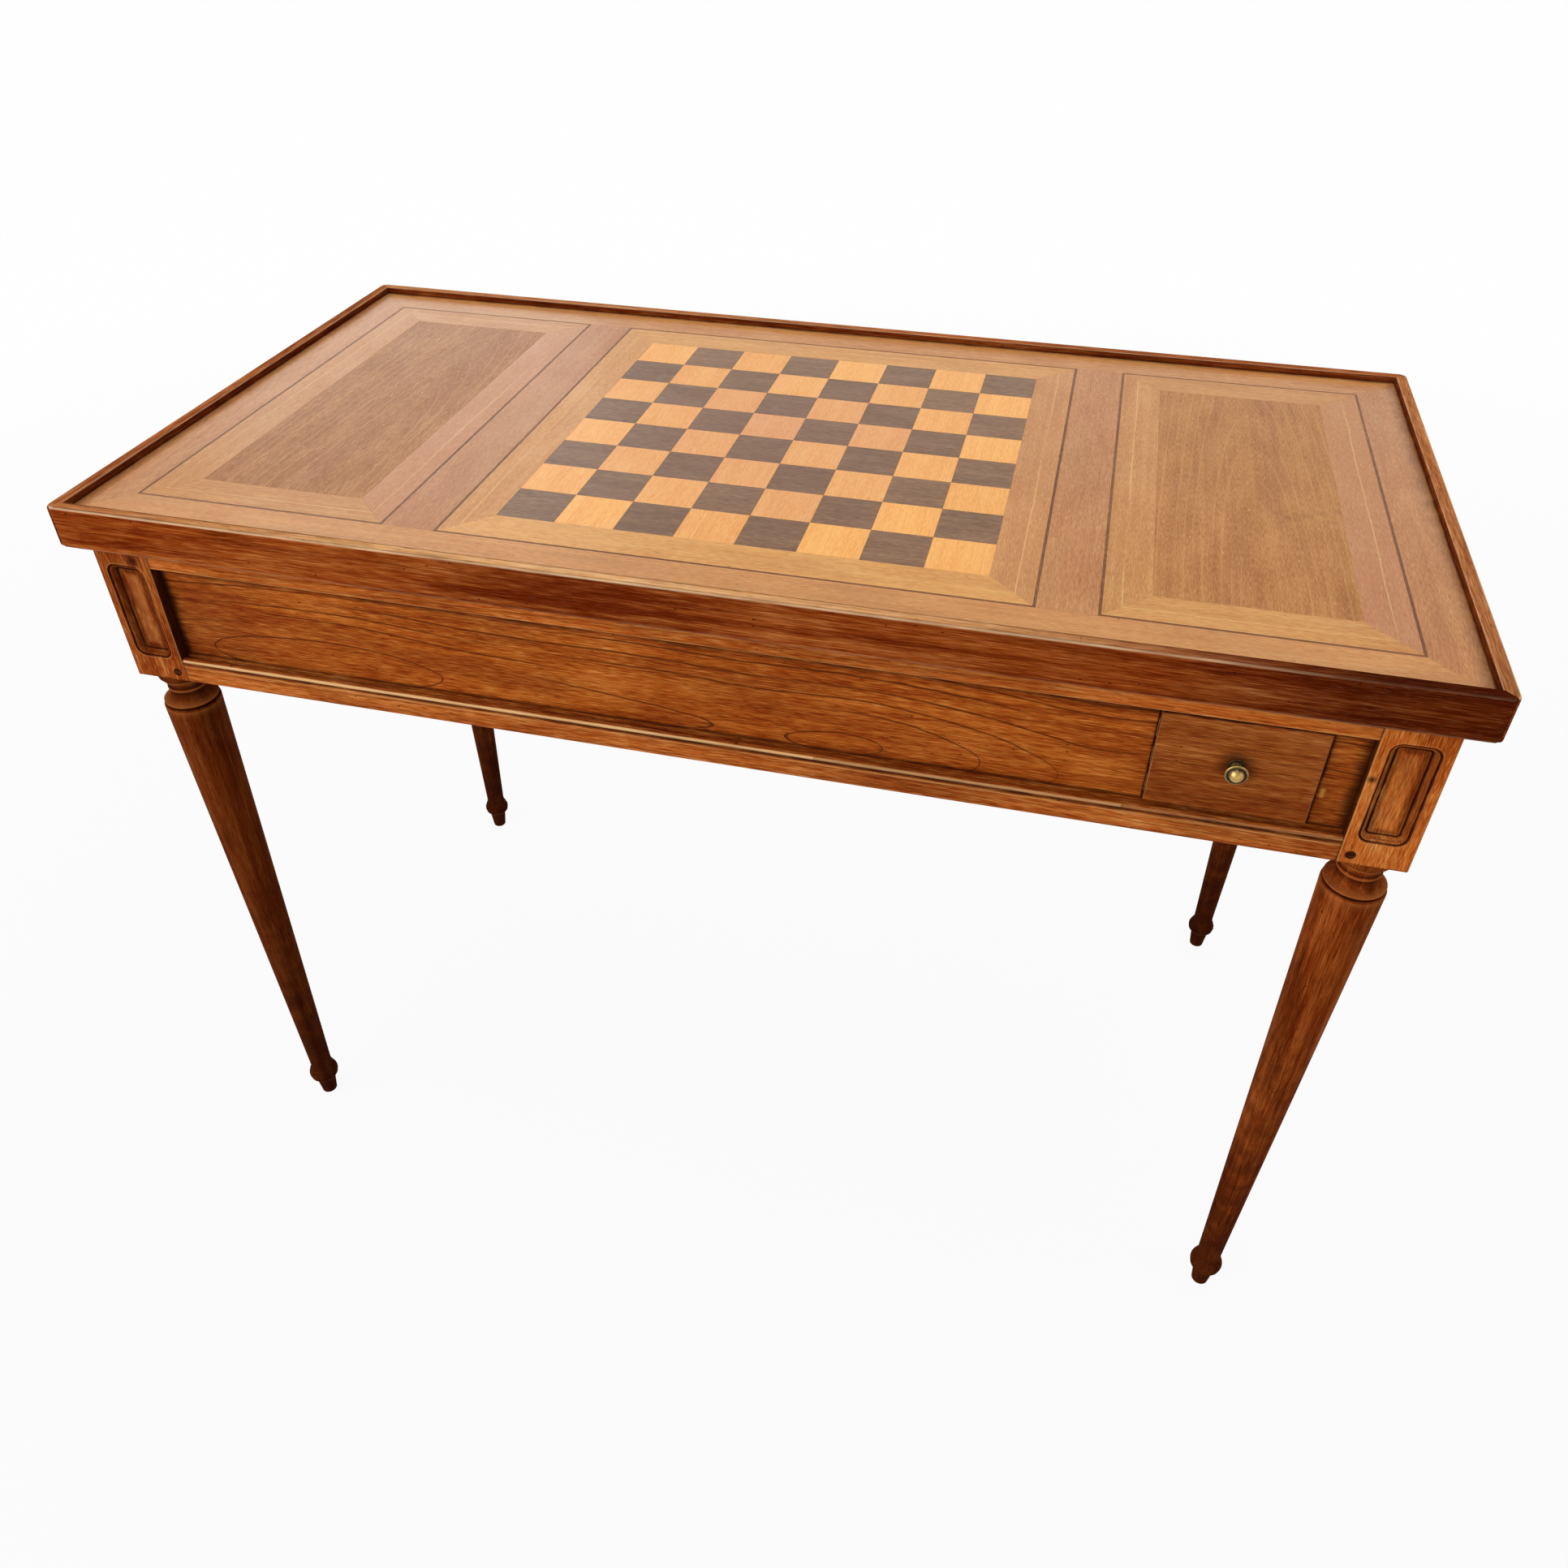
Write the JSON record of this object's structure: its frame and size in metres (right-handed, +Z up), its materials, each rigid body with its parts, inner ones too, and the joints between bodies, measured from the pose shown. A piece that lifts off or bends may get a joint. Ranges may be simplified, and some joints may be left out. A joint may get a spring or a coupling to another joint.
{
  "type": "chess table with inlaid board",
  "caption": "Panelled games table on turned tapered legs: a loose tray top with an inlaid chessboard lies over a backgammon well, with a small drawer at opposite corners.",
  "frame": {"origin": "on the floor under the middle of the top", "axes": "+X along the table to the right end, +Y from the front to the back, +Z up"},
  "size_m": [1.066, 0.5552, 0.75],
  "materials": {
    "leg_wood": "waxed",
    "apron_wood": "waxed",
    "rim_wood": "waxed",
    "dark_wood": "waxed",
    "field_veneer": "waxed",
    "light_veneer": "waxed",
    "dark_veneer": "waxed",
    "well_wood": "waxed",
    "inner_wood": "bare",
    "baize": "napped",
    "knob_brass": "aged"
  },
  "bodies": {
    "frame": {"leg_front_left": "leg_wood", "leg_front_right": "leg_wood", "leg_rear_left": "leg_wood", "leg_rear_right": "leg_wood", "tenon_pegs": "dark_wood", "apron_front": "apron_wood", "apron_rear": "apron_wood", "apron_left": "apron_wood", "apron_right": "apron_wood", "top_strip_front": "apron_wood", "top_strip_rear": "apron_wood", "top_strip_left": "apron_wood", "top_strip_right": "apron_wood", "bottom_strip_front": "apron_wood", "bottom_strip_rear": "apron_wood", "bottom_strip_left": "apron_wood", "bottom_strip_right": "apron_wood", "apron_beads": "apron_wood", "well_floor": "well_wood", "points_light": "light_veneer", "points_dark": "dark_veneer", "well_wall_left": "well_wood", "well_wall_right": "well_wood", "well_lining_front": "well_wood", "well_lining_rear": "well_wood", "well_bar": "well_wood", "floor_bearers": "inner_wood", "drawer_bed_left": "inner_wood", "drawer_bed_right": "inner_wood", "drawer_guides": "inner_wood", "end_deck_left": "well_wood", "end_deck_right": "well_wood"},
    "tray_top": {"rim_front": "rim_wood", "rim_rear": "rim_wood", "rim_left": "rim_wood", "rim_right": "rim_wood", "top_board": "inner_wood", "top_baize": "baize", "outer_field": "field_veneer", "stringing": "dark_veneer", "chess_banding": "field_veneer", "chess_squares_dark": "dark_veneer", "chess_squares_light": "light_veneer", "side_banding": "field_veneer", "side_fields": "field_veneer"},
    "front_drawer": {"front_drawer_face": "apron_wood", "front_drawer_side_left": "inner_wood", "front_drawer_side_right": "inner_wood", "front_drawer_back": "inner_wood", "front_drawer_bottom": "inner_wood", "front_drawer_knob": "knob_brass"},
    "rear_drawer": {"rear_drawer_face": "apron_wood", "rear_drawer_side_left": "inner_wood", "rear_drawer_side_right": "inner_wood", "rear_drawer_back": "inner_wood", "rear_drawer_bottom": "inner_wood", "rear_drawer_knob": "knob_brass"}
  },
  "joints": [
    {"name": "top_lift", "type": "slide", "parent": "frame", "child": "tray_top", "axis": [0, 0, 1], "range_m": [0, 0.3]},
    {"name": "front_drawer_slide", "type": "slide", "parent": "frame", "child": "front_drawer", "axis": [0, -1, 0], "range_m": [0, 0.32]},
    {"name": "rear_drawer_slide", "type": "slide", "parent": "frame", "child": "rear_drawer", "axis": [0, 1, 0], "range_m": [0, 0.32]}
  ]
}
